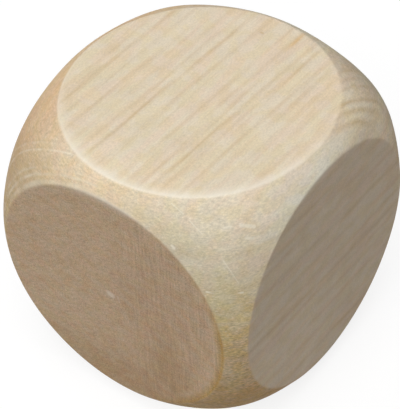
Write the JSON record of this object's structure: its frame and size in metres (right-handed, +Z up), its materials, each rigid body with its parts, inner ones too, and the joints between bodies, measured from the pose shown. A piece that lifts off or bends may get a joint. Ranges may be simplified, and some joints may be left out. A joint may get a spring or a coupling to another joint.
{
  "type": "wooden cube",
  "caption": "Blank solid wood cube with ball-rounded corners and edges and a round flat on every side, used as a dice blank, toy block or craft piece.",
  "frame": {"origin": "centre of the lower round flat, on the surface that the cube stands on", "axes": "+Z up, square to the upper flat; +Y along the wood grain, so the two Y sides are end grain; +X completes the right-handed frame"},
  "size_m": [0.05, 0.05, 0.05],
  "materials": {
    "bare_wood": "bare pale hardwood, sanded smooth and left unfinished, matt"
  },
  "bodies": {
    "root": {"wooden_cube": "bare_wood"}
  },
  "joints": []
}
